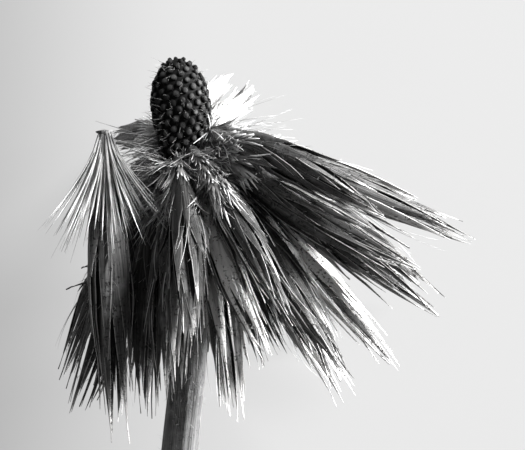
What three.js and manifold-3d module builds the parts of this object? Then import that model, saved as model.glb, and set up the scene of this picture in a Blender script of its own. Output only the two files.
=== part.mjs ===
// A dried globe thistle head, picked with a short stem and lying on a table.
// Most of its upper florets have dropped, which bares the knobbed receptacle. The others hang
// from the receptacle's lower part in a lopsided skirt, and one has come off and lies on them.
//
// Millimetres. The head is worked out upright, with x to the viewer's right, y from the cut stem
// towards the tip and z to the viewer. It is then laid back, with +Z up, so that the stem's cut
// end and the rear florets touch the table at z = 0.
import * as THREE from "three";
import { mergeGeometries, mergeVertices } from "three/addons/utils/BufferGeometryUtils.js";
import Module from "manifold-3d";

const wasm = await Module();
wasm.setup();
const { clamp, lerp, mapLinear } = THREE.MathUtils;

// Driving dimensions
const GAP = 0.3; // between any two pieces
const STEM_RADIUS = 1.45;
const STEM_LENGTH = 44; // from the florets' middle to the cut
const STEM_TOP = -2.6; // below the florets' middle, and a gap below the receptacle
const STEM_REST = 1.0; // height of the cut's middle over the table, which leaves a small flat
const STEM_RIBS = 8;
const STEM_RIB_HEIGHT = 0.12;
const STEM_STEPS = 10;
const RECEPTACLE_RADIUS = 2.35;
const KNOB_HEIGHT = 0.38;
const KNOBS_ROUND = 15;
const KNOB_ROWS = 13;
const HEAD_HEIGHT = 16; // of the florets' middle above the table
const FULL_LENGTH = 22; // of a well grown floret; smaller ones are slimmer too
const FLORET_GIRTH = 1.7; // radius of the space that one of that length takes up
const SIDES = 12; // of a floret, two to a bract
const BRACT_THICKNESS = 0.6;
const WAIST = 0.75; // half a bract's width half way up, in sides
const BRISTLE_REACH = [0.315, 0.42]; // how far along its floret a bristle can end
const POINT_REACH = [0, 0.05]; // how much further than its layer's tips a bract can end
const POINT_SPREAD = [0.8, 1.2]; // how far out it can end, as a share of its layer's tips
const FIRST_SEED = 11;

// The rings that a floret's bristles stand between: how far along, the radius, and how far out
// the bristles reach that start there
const BRUSH = [
  [0.01, 0.48, 1.7],
  [0.03, 0.3],
];
// The layers of bracts, outermost first. Each pair is how far along, then how far out
const LAYERS = [
  { ledge: [0.3, 1.2], inner: 0.6, belly: [0.46, 1.45], tip: [0.64, 1.5] },
  { ledge: [0.52, 0.88], inner: 0.28, belly: [0.68, 1.05], tip: [0.88, 0.95] },
];

// The stem's middle line, from the cut to the neck under the receptacle
const STEM_LINE = [
  [-2.7, -STEM_LENGTH, 0],
  [-0.5, -21.8, 0],
  [0.2, -14.9, 0],
  [0.6, -9.5, 0],
  [0.35, -5.2, 0],
  [0, STEM_TOP, 0],
].map((p) => new THREE.Vector3(...p));
const stemCurve = new THREE.CatmullRomCurve3(STEM_LINE);

// The receptacle's outline, as radius and height
const RECEPTACLE_OUTLINE = [
  [0, -2.3],
  [1.5, -2.3],
  [1.95, -1],
  [2.0, 1],
  [2.05, 3],
  [RECEPTACLE_RADIUS, 5],
  [RECEPTACLE_RADIUS, 6.4],
  [1.9, 8],
  [1.1, 9.1],
  [0, 9.5],
];
const RECEPTACLE_SHOULDER = 8;
const ROOT_ZONE = [-0.9, 4.1]; // the heights between which florets are rooted
const ROOT_SPREADS = [0.1, 0.55]; // half turns off straight down that a floret points, there
const ROOT_CLEARANCE = 0.9; // from the receptacle's skin to the middle of a foot, over the knobs
const RECEPTACLE_LEAN = -0.07; // sideways per millimetre of height

// The tip of each floret that is left
const FLORETS = {
  left_a: [-9.1, -18.6, 0.5],
  left_b: [-7.6, -18.5, -4],
  left_c: [-3.4, -18.6, 5.2],
  left_d: [-10.3, -16.3, -6.1],
  front_a: [-1.6, -17.9, 8.9],
  front_b: [-0.2, -15.1, 12.9],
  front_c: [1.2, -12.4, 17.4],
  front_d: [4.1, -19, 8.9],
  front_e: [6.1, -13.3, 13.8],
  front_f: [12.4, -15.9, 9],
  front_g: [13.1, -15.8, 13.1],
  front_h: [8.4, -10.9, 17],
  inner_a: [7.7, -13.3, 4.7],
  inner_b: [0.9, -13.1, 4.4],
  inner_c: [9.5, -12.8, 4.9],
  right_a: [20, -10.9, 7.2],
  right_b: [19.6, -9, 12],
  right_c: [17.9, -7.3, 14.8],
  right_d: [15.4, -3, 17.5],
  right_e: [16.8, -14.9, 1.5],
  right_f: [23, -5, 1],
  right_g: [20.8, -3.5, -5.9],
  rear_a: [6.1, -14.9, -5.3],
  rear_b: [11.9, -16.7, -3.6],
  rear_c: [15.6, -13.8, -7.1],
  rear_d: [9.2, -13.3, -13.1],
  rear_e: [0.6, -14.3, -11.2],
  rear_f: [-4.6, -15.8, -9],
  rear_g: [18.2, -8.7, -11.3],
  back_a: [13, -3.8, -16.1],
  back_b: [5.7, -5.6, -16.5],
  back_c: [-1.8, -7.7, -16],
  back_d: [-7.3, -2.9, -11],
  back_e: [-6.6, 3.4, -17.8],
  back_f: [0.4, 2.9, -18.8],
  back_g: [3.3, 8.7, -14.8],
  back_h: [5.4, 7.9, -15.5],
};
const LOOSE_FOOT = [-6.4, 3.7, 3];
const LOOSE_TIP = [-5.2, -20.6, 6.5];
const LOOSE_LENGTH = 24.4;
const LOOSE_SEED = 5;
// Its brush has opened, most of all on the side that faces up
const LOOSE = {
  brush: [
    [0.01, 0.6, 2.1],
    [0.02, 0.46, 1.7],
    [0.03, 0.3],
  ],
  flare: (out) => 1 + Math.max(0, out.z + 0.2),
};

const tilt = Math.asin((HEAD_HEIGHT - STEM_REST) / STEM_LENGTH);
const tableNormal = new THREE.Vector3(0, Math.sin(tilt), Math.cos(tilt));

/** How high a point of the upright head lies above the table. */
const heightAbove = (p) => p.dot(tableNormal) + HEAD_HEIGHT;

/** A seeded draw of numbers from 0 to 1. */
function seeded(seed) {
  let state = seed;
  return () => {
    state = (state * 1664525 + 1013904223) % 4294967296;
    return state / 4294967296;
  };
}

/** A closed geometry as a solid that can be joined and cut. */
function solidOf(geometry) {
  const bare = new THREE.BufferGeometry();
  bare.setAttribute("position", geometry.getAttribute("position"));
  bare.setIndex(geometry.index);
  const merged = mergeVertices(bare, 1e-4);
  return new wasm.Manifold(
    new wasm.Mesh({
      numProp: 3,
      vertProperties: merged.attributes.position.array,
      triVerts: new Uint32Array(merged.index.array),
    }),
  );
}

function geometryOf(solid) {
  const { vertProperties, triVerts } = solid.getMesh();
  const geometry = new THREE.BufferGeometry();
  geometry.setAttribute("position", new THREE.BufferAttribute(vertProperties, 3));
  geometry.setIndex(new THREE.BufferAttribute(triVerts, 1));
  geometry.computeVertexNormals();
  return geometry;
}

/** Moves every vertex of a geometry to where place(vertex) says. */
function reshape(geometry, place) {
  const position = geometry.getAttribute("position");
  const vertex = new THREE.Vector3();
  for (let i = 0; i < position.count; i++) {
    vertex.copy(place(vertex.fromBufferAttribute(position, i)));
    position.setXYZ(i, vertex.x, vertex.y, vertex.z);
  }
  return geometry;
}

/** Reads a value between the points of an outline of [value, at] pairs. */
function along(outline, at) {
  const next = outline.findIndex(([, a]) => a >= at);
  if (next <= 0) return outline[next === 0 ? 0 : outline.length - 1][0];
  const [[v0, a0], [v1, a1]] = [outline[next - 1], outline[next]];
  return v0 + ((v1 - v0) * (at - a0)) / (a1 - a0);
}

const receptacleAxis = (height) => new THREE.Vector3(RECEPTACLE_LEAN * height, height, 0);
const receptacleRadius = (height) => along(RECEPTACLE_OUTLINE.slice(1), height);

// The florets hang as lines of points, which settle among each other

const LINE_POINTS = 15;
const SETTLING_ROUNDS = 240;
const PULL = 0.06; // share of the way to where its tip hangs, each round
const PULLED_SHARE = 0.8; // of the rounds, after which the florets only part
const EASE = 0.5; // how much each round smooths a line
const STIFFNESS = 0.08; // how much each round straightens it
const MAX_BOW = 0.8; // how far a floret's middle may bend off its chord
const FLATTENING = 0.7; // share of its room that a floret keeps over the table
// The room that a floret needs round its line, as a share of its girth, and how far along
const GIRTHS = [
  [0.3, 0],
  [0.45, 0.12],
  [0.85, 0.3],
  [1, 0.42],
  [1, 0.66],
  [0.7, 0.9],
  [0.3, 1],
];

/** A floret's line of points between two ends, with the room that it needs round each point. */
function lineOf(root, tip, length) {
  const shares = Array.from({ length: LINE_POINTS }, (_, k) => k / (LINE_POINTS - 1));
  return {
    points: shares.map((share) => root.clone().lerp(tip, share)),
    rooms: shares.map((share) => (FLORET_GIRTH * along(GIRTHS, share) * length) / FULL_LENGTH),
    foot: root.clone(),
    tip,
    length,
  };
}

function hangingLine(end) {
  const tip = new THREE.Vector3(...end);
  const spread = tip.clone().normalize().angleTo(new THREE.Vector3(0, -1, 0)) / Math.PI;
  const height = mapLinear(spread, ...ROOT_SPREADS, ...ROOT_ZONE);
  const bearing = Math.atan2(tip.x, tip.z);
  const root = onReceptacle(bearing, clamp(height, ...ROOT_ZONE));
  return { ...lineOf(root, tip, root.distanceTo(tip)), rooted: true };
}

function onReceptacle(bearing, height) {
  const out = new THREE.Vector3(Math.sin(bearing), 0, Math.cos(bearing));
  return receptacleAxis(height).addScaledVector(out, receptacleRadius(height) + ROOT_CLEARANCE);
}

/** Puts a root back on the receptacle's skin, inside the zone that carries florets. */
function keepRooted(point) {
  const height = clamp(point.y, ...ROOT_ZONE);
  const axis = receptacleAxis(height);
  point.copy(onReceptacle(Math.atan2(point.x - axis.x, point.z - axis.z), height));
}

function pushFrom(point, centre, room) {
  const away = point.clone().sub(centre);
  const short = room - away.length();
  if (short > 0) point.addScaledVector(away.normalize(), short);
}

/** Parts two points that are closer than the room they need. */
function part(a, b, room) {
  if (a.distanceToSquared(b) >= room * room) return;
  const between = b.clone().sub(a);
  const short = room - between.length();
  between.setLength(short / 2);
  a.sub(between);
  b.add(between);
}

function partLines(a, b) {
  a.points.forEach((p, k) =>
    b.points.forEach((q, m) => part(p, q, a.rooms[k] + b.rooms[m] + GAP)),
  );
}

/** Keeps a line clear of the stem and the receptacle, and on the table. */
function keepClear(line) {
  line.points.slice(1).forEach((point, k) => {
    const room = line.rooms[k + 1];
    const alongStem = (point.y + STEM_LENGTH) / (STEM_LENGTH + STEM_TOP);
    const onStem = stemCurve.getPoint(clamp(alongStem, 0, 1)).setY(point.y);
    pushFrom(point, onStem, STEM_RADIUS + room + GAP);
    const height = clamp(point.y, ROOT_ZONE[0], RECEPTACLE_SHOULDER);
    const onAxis = receptacleAxis(height).setY(point.y);
    if (point.y < RECEPTACLE_SHOULDER)
      pushFrom(point, onAxis, receptacleRadius(height) + KNOB_HEIGHT + room + GAP);
    const low = room * FLATTENING - heightAbove(point);
    if (low > 0) point.addScaledVector(tableNormal, low);
  });
}

/** The stiff, slightly bowed rod that lies nearest to a line's points, by least squares. */
function nearestRod({ points, length }) {
  const root = points[0];
  const sums = { tt: 0, tb: 0, bb: 0 };
  const [arms, bows] = [new THREE.Vector3(), new THREE.Vector3()];
  const shares = points.map((_, k) => k / (LINE_POINTS - 1));
  const bowAt = (t) => 4 * t * (1 - t);
  points.forEach((point, k) => {
    const t = shares[k];
    const arm = point.clone().sub(root);
    arms.addScaledVector(arm, t);
    bows.addScaledVector(arm, bowAt(t));
    sums.tt += t * t;
    sums.tb += t * bowAt(t);
    sums.bb += bowAt(t) ** 2;
  });
  const chord = arms.clone().multiplyScalar(sums.bb).addScaledVector(bows, -sums.tb);
  const bend = bows.multiplyScalar(sums.tt).addScaledVector(arms, -sums.tb);
  bend.divideScalar(sums.tt * sums.bb - sums.tb ** 2).clampLength(0, MAX_BOW);
  chord.setLength(length);
  return shares.map((t) => root.clone().addScaledVector(chord, t).addScaledVector(bend, bowAt(t)));
}

function settle(lines) {
  const last = LINE_POINTS - 1;
  for (let round = 0; round < SETTLING_ROUNDS; round++) {
    if (round < SETTLING_ROUNDS * PULLED_SHARE)
      lines.forEach(({ points, foot, tip, rooted }) => {
        points[last].lerp(tip, PULL);
        if (!rooted) points[0].lerp(foot, PULL);
      });
    lines.forEach((a, i) => lines.slice(i + 1).forEach((b) => partLines(a, b)));
    for (const line of lines) {
      const { points, length } = line;
      for (let k = 1; k < last; k++) {
        points[k].lerp(points[k - 1].clone().add(points[k + 1]).multiplyScalar(0.5), EASE);
        points[k].lerp(points[0].clone().lerp(points[last], k / last), STIFFNESS);
      }
      keepClear(line);
      if (line.rooted) keepRooted(points[0]);
      for (let k = 1; k <= last; k++) {
        const stride = points[k].clone().sub(points[k - 1]).setLength(length / last);
        points[k].copy(points[k - 1]).add(stride);
      }
    }
  }
  return lines.map(nearestRod);
}

// One floret, built round its settled line

/** Gives the point at a share of a floret's line, and which way is out from it at an angle. */
function frameOf(points) {
  const curve = new THREE.CatmullRomCurve3(points);
  const chord = points.at(-1).clone().sub(points[0]).normalize();
  const side = new THREE.Vector3(0, 0, 1).cross(chord).normalize();
  return (share, angle) => {
    const tangent = curve.getTangentAt(share);
    const across = side.clone().addScaledVector(tangent, -side.dot(tangent)).normalize();
    const up = tangent.clone().cross(across);
    const out = across.clone().multiplyScalar(Math.cos(angle)).addScaledVector(up, Math.sin(angle));
    return { point: curve.getPointAt(share), out };
  };
}

// Rings of points run anticlockwise as seen from a floret's tip. So does the base of a spike

/** Moves the rows of an open cone or cylinder, lowest first, onto rings of points. */
function throughRings(geometry, rings) {
  const sides = rings[0].length;
  return reshape(geometry, (v) => {
    const row = Math.round((0.5 + v.y) * (rings.length - 1));
    const corner = Math.round((Math.atan2(v.x, v.z) / (2 * Math.PI)) * sides);
    return rings[row][(corner + sides) % sides];
  });
}

const band = (...rings) =>
  throughRings(new THREE.CylinderGeometry(1, 1, 1, rings[0].length, rings.length - 1, true), rings);

function spike(tip, ...rings) {
  const all = [...rings, rings[0].map(() => tip)];
  return throughRings(new THREE.ConeGeometry(1, 1, rings[0].length, rings.length, true), all);
}

/**
 * A floret: a foot with a brush of bristles round it, a thin neck, and layers of bracts that end
 * in free points. Each layer stands on a ledge, where the skin steps in by a bract's thickness.
 */
function floret(points, seed, { brush = BRUSH, flare = () => 1 } = {}) {
  const draw = seeded(seed);
  const stout = points[0].distanceTo(points.at(-1)) / FULL_LENGTH;
  const at = frameOf(points);
  const turn = draw() * Math.PI;
  const angleAt = (column) => turn + (column / SIDES) * 2 * Math.PI;
  const place = (share, column, radius) => {
    const { point, out } = at(share, angleAt(column));
    return point.addScaledVector(out, radius * stout);
  };
  const ring = ([share, radius]) =>
    Array.from({ length: SIDES }, (_, column) => place(share, column, radius));
  const shapes = [];

  const brushRings = brush.map(ring);
  shapes.push(spike(points[0], brushRings[0].toReversed()));
  for (let row = 0; row < brush.length - 1; row++)
    for (let column = 0; column < SIDES; column++) {
      const next = (column + 1) % SIDES;
      const [outer, inner] = [brushRings[row], brushRings[row + 1]];
      const spread = brush[row][2] * flare(at(0, angleAt(column)).out);
      const tip = place(lerp(...BRISTLE_REACH, draw()), column + 0.5, spread);
      shapes.push(spike(tip, [outer[column], outer[next], inner[next], inner[column]]));
    }

  let skin = brushRings.at(-1);
  LAYERS.forEach(({ ledge, inner, belly, tip }, layer) => {
    const [edge, step] = [ring(ledge), ring([ledge[0], inner])];
    shapes.push(band(skin, edge));
    for (let column = layer % 2; column < SIDES; column += 2) {
      const [middle, right] = [(column + 1) % SIDES, (column + 2) % SIDES];
      const base = [edge[column], edge[middle], edge[right], step[right], step[middle], step[column]];
      const [share, radius] = belly;
      const across = (side, out) => place(share, middle + side * WAIST, out);
      const waist = [-1, 0, 1].map((side) => across(side, radius));
      const underside = [1, 0, -1].map((side) => across(side, radius - BRACT_THICKNESS));
      const reach = tip[0] + lerp(...POINT_REACH, draw());
      const spread = tip[1] * lerp(...POINT_SPREAD, draw());
      shapes.push(spike(place(reach, middle, spread), base, [...waist, ...underside]));
    }
    skin = step;
  });
  shapes.push(spike(points.at(-1), skin));
  return solidOf(mergeGeometries(shapes));
}

// The receptacle: rows of knobs raised from its skin, staggered from row to row

function receptacle() {
  const knobStep = 2;
  const sides = KNOBS_ROUND * knobStep;
  const rows = KNOB_ROWS * knobStep;
  const [bottom, top] = [RECEPTACLE_OUTLINE[0][1], RECEPTACLE_OUTLINE.at(-1)[1]];
  const skin = new THREE.CylinderGeometry(1, 1, 1, sides, rows);
  return reshape(skin, (v) => {
    const row = Math.round((0.5 + v.y) * rows);
    const column = Math.round((Math.atan2(v.x, v.z) / (2 * Math.PI)) * sides);
    const rise = Math.sin(((row / rows) * Math.PI) / 2);
    const height = lerp(bottom, top, rise);
    const onKnob = row % 2 === 1 && (column + (row - 1) / 2) % knobStep === 0;
    const radius = Math.hypot(v.x, v.z) * (receptacleRadius(height) + (onKnob ? KNOB_HEIGHT : 0));
    const bearing = Math.atan2(v.x, v.z);
    return receptacleAxis(height).add(
      new THREE.Vector3(Math.sin(bearing) * radius, 0, Math.cos(bearing) * radius),
    );
  });
}

/** A ribbed stalk along the stem's line, its top a gap below the receptacle. */
function stem() {
  const outline = new THREE.Shape(
    Array.from({ length: STEM_RIBS * 2 }, (_, i) => {
      const angle = (i / (STEM_RIBS * 2)) * 2 * Math.PI;
      const radius = STEM_RADIUS - (i % 2) * STEM_RIB_HEIGHT;
      return new THREE.Vector2(Math.cos(angle) * radius, Math.sin(angle) * radius);
    }),
  );
  return new THREE.ExtrudeGeometry(outline, { extrudePath: stemCurve, steps: STEM_STEPS });
}

/** A big block whose top is the table, in the upright head's own frame. */
function underTheTable() {
  const side = 200;
  const depth = HEAD_HEIGHT + side / 2;
  const block = new THREE.BoxGeometry(side, side, side);
  block.rotateX(-tilt);
  return block.translate(...tableNormal.clone().multiplyScalar(-depth).toArray());
}

const MATERIALS = {
  stem: new THREE.MeshStandardMaterial({ color: 0x6a6a66, roughness: 0.85, metalness: 0 }),
  receptacle: new THREE.MeshStandardMaterial({ color: 0x2b2a29, roughness: 0.9, metalness: 0 }),
  floret: new THREE.MeshStandardMaterial({ color: 0x5d5c59, roughness: 0.8, metalness: 0 }),
};

const head = new THREE.Group();
const table = solidOf(underTheTable());

function addPiece(name, solid, material) {
  const mesh = new THREE.Mesh(geometryOf(solid.subtract(table)), material);
  mesh.name = name;
  head.add(mesh);
}

const names = Object.keys(FLORETS);
const looseEnds = [LOOSE_FOOT, LOOSE_TIP].map((end) => new THREE.Vector3(...end));
const looseLine = lineOf(...looseEnds, LOOSE_LENGTH);
const lines = settle([...names.map((name) => hangingLine(FLORETS[name])), looseLine]);

addPiece("stem", solidOf(stem()), MATERIALS.stem);
addPiece("receptacle", solidOf(receptacle()), MATERIALS.receptacle);
names.forEach((name, i) =>
  addPiece(`floret_${name}`, floret(lines[i], FIRST_SEED + i), MATERIALS.floret),
);
addPiece("floret_loose", floret(lines.at(-1), LOOSE_SEED, LOOSE), MATERIALS.floret);

// Laid back on the table, with the origin under the middle of the whole
head.rotation.x = tilt;
head.position.z = HEAD_HEIGHT;
const laid = new THREE.Group().add(head);
const box = new THREE.Box3().setFromObject(laid, true);
const middle = box.getCenter(new THREE.Vector3());
head.position.sub(new THREE.Vector3(middle.x, middle.y, box.min.z));

export default laid;
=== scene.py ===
import random
from math import asin, cos, pi, sin, sqrt

import bmesh
import bpy
from mathutils import Matrix, Vector, noise
from mathutils.bvhtree import BVHTree


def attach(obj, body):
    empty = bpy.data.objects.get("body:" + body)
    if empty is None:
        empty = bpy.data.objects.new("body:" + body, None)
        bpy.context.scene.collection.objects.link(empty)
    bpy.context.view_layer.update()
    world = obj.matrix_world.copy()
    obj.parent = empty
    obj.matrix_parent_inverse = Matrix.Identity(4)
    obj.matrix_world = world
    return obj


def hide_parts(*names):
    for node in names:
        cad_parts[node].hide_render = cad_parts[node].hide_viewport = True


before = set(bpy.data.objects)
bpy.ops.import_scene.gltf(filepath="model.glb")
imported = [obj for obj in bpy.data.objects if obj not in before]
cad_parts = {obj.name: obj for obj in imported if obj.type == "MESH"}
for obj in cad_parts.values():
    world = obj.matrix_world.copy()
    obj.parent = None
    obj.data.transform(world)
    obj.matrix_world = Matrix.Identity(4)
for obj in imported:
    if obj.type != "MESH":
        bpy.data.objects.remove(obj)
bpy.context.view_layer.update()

mm = 0.001

# A dried globe thistle head that lies on its stem's cut end and its rear florets, looked down on.
# It is worked out upright, in millimetres: x to the right, y from the stem to the tip, z to the viewer,
# from the middle of the florets' roots. headToWorld lays it back on the table.
head = {
    "tilt": asin(15 / 44),  # the stem's cut end is 44 from the florets' middle, and lies 15 lower
    "apex": (-0.665, 9.5, 0),  # the receptacle's tip
}


def layHeadBack():
    turn = Matrix.Rotation(head["tilt"], 4, "X")
    towardsTip = turn @ Vector((0, 1, 0))
    apex = max((v.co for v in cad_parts["receptacle"].data.vertices), key=towardsTip.dot)
    middle = apex - turn @ Vector(head["apex"]) * mm
    return Matrix.Translation(middle) @ turn @ Matrix.Scale(mm, 4)


headToWorld = layHeadBack()


def along(outline, at):  # reads a value between (value, at) pairs
    if at <= outline[0][1]:
        return outline[0][0]
    for (v0, a0), (v1, a1) in zip(outline, outline[1:]):
        if at <= a1:
            return v0 + (v1 - v0) * (at - a0) / (a1 - a0)
    return outline[-1][0]


def mix(a, b, share):
    return a + (b - a) * share


def clamp(value, low, high):
    return min(max(value, low), high)


def scatter(draw, x=(-1, 1), y=(-1, 1), z=(-1, 1)):
    return Vector([draw.uniform(*side) for side in (x, y, z)])


def drawEach(draw, ranges, *names):  # a number from each of the named ranges, in that order
    return [draw.uniform(*ranges[name]) for name in names]


def anyAngle(draw):
    return draw.uniform(0, 2 * pi)


view = {
    "centre": (6.12, -3.76),  # of the picture, across and up the head
    "span": 42,  # millimetres across the picture
    "lens": 280,
    "sensor": 36,
    "clip": (0.01, 10),
}


def makeCamera():
    data = bpy.data.cameras.new("camera")
    data.lens = view["lens"]
    data.sensor_width = view["sensor"]
    data.clip_start, data.clip_end = view["clip"]
    camera = bpy.data.objects.new("camera", data)
    distance = view["span"] * view["lens"] / view["sensor"]
    camera.location = headToWorld @ Vector((*view["centre"], distance))
    camera.rotation_euler = (head["tilt"], 0, 0)
    bpy.context.collection.objects.link(camera)
    bpy.context.scene.camera = camera


light = {
    "world": 0.27,
    "aim": (0, 0.005, 0.015),  # the middle of the head
    "key": {"towards": (0.95, 0.30, 0.02), "away": 0.34, "size": 0.08, "power": 9.5},
    "fill": {"towards": (0.60, 0.48, 0.64), "away": 0.40, "size": 0.12, "power": 4.7},
}


def makeLight(name, towards, away, size, power):
    data = bpy.data.lights.new(name, "AREA")
    data.energy = power
    data.size = size
    lamp = bpy.data.objects.new(name, data)
    direction = Vector(towards).normalized()
    lamp.location = Vector(light["aim"]) + direction * away
    lamp.rotation_euler = direction.to_track_quat("Z", "Y").to_euler()
    bpy.context.collection.objects.link(lamp)


def makeStudio():
    world = bpy.data.worlds.new("studio")
    world.use_nodes = True
    background = world.node_tree.nodes["Background"]
    background.inputs["Color"].default_value = (1, 1, 1, 1)
    background.inputs["Strength"].default_value = light["world"]
    bpy.context.scene.world = world
    makeLight("key", **light["key"])
    makeLight("fill", **light["fill"])
    bpy.context.scene.view_settings.view_transform = "Standard"


def newNode(tree, kind, **values):
    node = tree.nodes.new(kind)
    for name, value in values.items():
        setattr(node, name, value)
    return node


def feed(tree, value, socket):  # a number, a grey or another node's output
    if isinstance(value, (int, float)):
        socket.default_value = value
    elif isinstance(value, tuple):
        socket.default_value = (*value, 1)
    else:
        tree.links.new(value, socket)


def feedEach(tree, node, values):
    for name, value in values.items():
        feed(tree, value, node.inputs[name])


def mathNode(tree, operation, *values):
    node = newNode(tree, "ShaderNodeMath", operation=operation)
    for value, socket in zip(values, node.inputs):
        feed(tree, value, socket)
    return node.outputs[0]


def times(tree, a, b):
    return mathNode(tree, "MULTIPLY", a, b)


def rampMask(tree, value, low, high):  # 0 below low, 1 above high, or the other way round
    node = newNode(tree, "ShaderNodeMapRange", interpolation_type="SMOOTHSTEP")
    feedEach(tree, node, {"Value": value, "From Min": min(low, high), "From Max": max(low, high)})
    feedEach(tree, node, {"To Min": int(low > high), "To Max": int(low < high)})
    return node.outputs["Result"]


mixSockets = {"factor": 0, "a": 6, "b": 7, "result": 2}  # a Mix node's for colours


def mixColours(tree, factor, a, b, blend="MIX"):
    node = newNode(tree, "ShaderNodeMix", data_type="RGBA", blend_type=blend)
    feed(tree, factor, node.inputs[mixSockets["factor"]])
    feed(tree, a, node.inputs[mixSockets["a"]])
    feed(tree, b, node.inputs[mixSockets["b"]])
    return node.outputs[mixSockets["result"]]


def noiseNode(tree, vector, scale, detail, roughness=0.5):
    node = newNode(tree, "ShaderNodeTexNoise")
    feedEach(tree, node, {"Vector": vector, "Scale": scale, "Detail": detail, "Roughness": roughness})
    return node.outputs["Fac"]


def grey(level, warmth=0.0):
    return (level * (1 + warmth), level, level * (1 - warmth))


dryFibreLook = {
    "streaks": {"scale": 1, "detail": 3, "roughness": 0.65},
    "blotches": {"scale": 620, "detail": 3},
    "grains": {"scale": 5200, "detail": 1},
    "clumps": {"scale": 900, "detail": 2},
    "shift": 90,  # sets a piece's streaks apart from those of a piece with another tone
    "grainRamp": (0.57, 0.64),
    "clumpRamp": (0.43, 0.55),
    "pitting": -0.6,  # how far a speck sinks the relief
    "masks": ("Streaks", "Blotches", "Specks", "Relief"),
}


def makeDryFibreGroup():  # fine streaks along a dry surface, blotches, and small dark specks in clumps
    tree = bpy.data.node_groups.new("dryFibre", "ShaderNodeTree")
    face = tree.interface
    for name in ("Strip", "Place"):
        face.new_socket(name, in_out="INPUT", socket_type="NodeSocketVector")
    for name in ("Tone", "Streaks across", "Streaks along"):
        face.new_socket(name, in_out="INPUT", socket_type="NodeSocketFloat")
    for name in dryFibreLook["masks"]:
        face.new_socket(name, in_out="OUTPUT", socket_type="NodeSocketFloat")
    given = newNode(tree, "NodeGroupInput").outputs
    made = newNode(tree, "NodeGroupOutput").inputs

    strip = newNode(tree, "ShaderNodeSeparateXYZ")
    feed(tree, given["Strip"], strip.inputs[0])
    stretched = newNode(tree, "ShaderNodeCombineXYZ")  # long cells make streaks
    feed(tree, times(tree, strip.outputs["X"], given["Streaks across"]), stretched.inputs["X"])
    feed(tree, times(tree, strip.outputs["Y"], given["Streaks along"]), stretched.inputs["Y"])
    feed(tree, times(tree, given["Tone"], dryFibreLook["shift"]), stretched.inputs["Z"])
    streaks = noiseNode(tree, stretched.outputs[0], **dryFibreLook["streaks"])
    blotches = noiseNode(tree, given["Place"], **dryFibreLook["blotches"])
    grains = noiseNode(tree, given["Place"], **dryFibreLook["grains"])
    clumps = noiseNode(tree, given["Place"], **dryFibreLook["clumps"])
    specks = times(
        tree,
        rampMask(tree, grains, *dryFibreLook["grainRamp"]),
        rampMask(tree, clumps, *dryFibreLook["clumpRamp"]),
    )
    relief = mathNode(tree, "MULTIPLY_ADD", specks, dryFibreLook["pitting"], streaks)
    for name, value in zip(dryFibreLook["masks"], (streaks, blotches, specks, relief)):
        feed(tree, value, made[name])
    return tree


dryFibre = makeDryFibreGroup()


def startMaterial(name, roughness, specular):
    material = bpy.data.materials.new(name)
    material.use_nodes = True
    tree = material.node_tree
    shader = tree.nodes["Principled BSDF"]
    shader.inputs["Roughness"].default_value = roughness
    shader.inputs["Specular IOR Level"].default_value = specular
    return material, tree, shader


def addDryFibre(tree, across, lengthwise):  # gives the group's masks, and the strip and tone under them
    strip = newNode(tree, "ShaderNodeUVMap", uv_map="strip").outputs["UV"]
    place = newNode(tree, "ShaderNodeTexCoord").outputs["Object"]
    tone = newNode(tree, "ShaderNodeAttribute", attribute_name="tone").outputs["Fac"]
    group = newNode(tree, "ShaderNodeGroup", node_tree=dryFibre)
    feedEach(tree, group, {"Streaks across": across, "Streaks along": lengthwise})
    feedEach(tree, group, {"Strip": strip, "Place": place, "Tone": tone})
    split = newNode(tree, "ShaderNodeSeparateXYZ")
    feed(tree, strip, split.inputs[0])
    fibre = {name: group.outputs[name] for name in dryFibreLook["masks"]}
    return fibre | {"across": split.outputs["X"], "along": split.outputs["Y"], "tone": tone}


def addBump(tree, shader, height, distance, strength):
    bump = newNode(tree, "ShaderNodeBump")
    feedEach(tree, bump, {"Height": height, "Distance": distance, "Strength": strength})
    feed(tree, bump.outputs["Normal"], shader.inputs["Normal"])


def makeDryMaterial(name, look, paint):  # paint() gives its colour
    material, tree, shader = startMaterial(name, *look["finish"])
    fibre = addDryFibre(tree, *look["streaks"])

    def mask(value, ramp):
        return rampMask(tree, fibre[value], *look[ramp])

    feed(tree, paint(tree, fibre, look, mask), shader.inputs["Base Color"])
    addBump(tree, shader, fibre["Relief"], *look["bump"])
    return material


bractLook = {
    "dark": grey(0.017),
    "light": grey(0.10, 0.01),
    "patch": grey(0.15),
    "pale": grey(0.75, 0.01),
    "speck": grey(0.003),
    "shade": (grey(0.35), grey(1.0)),  # from the darkest florets to those of a middle tone; the darker ones are partly painted shade
    "shadeTones": (0.0, 0.6),
    "finish": (0.55, 0.25),  # roughness and specular level
    "streaks": (16, 1.8),
    "streakRamp": (0.40, 0.60),
    "blotchRamp": (0.5, 0.75),
    "rim": (0.42, 0.5),  # off the midrib, where the blade is paler and thinner, and painted paler still as painted highlight on its edges
    "rimAlong": (0.2, 0.65),
    # how pale the rims get: partly wear, partly painted highlight
    "rimWearAndHighlight": 0.5,
    "point": (0.82, 0.98),  # along the bract, where its end pales: partly its own pale point, partly painted highlight
    "raggedness": (0.25, 0.12),  # how far streaks move that, and their middle
    "pointTones": (0.3, 0.6),
    "pointWearAndHighlight": (0.25, 0.95),  # how pale the points get, of florets below and above those tones: partly wear, partly painted highlight
    "bleachTones": (0.75, 1.0),  # between these a whole floret turns pale: partly bleaching, partly painted light where it stands lit from behind
    "speckDepth": 0.85,
    "bump": (0.00006, 0.9),
}


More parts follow.
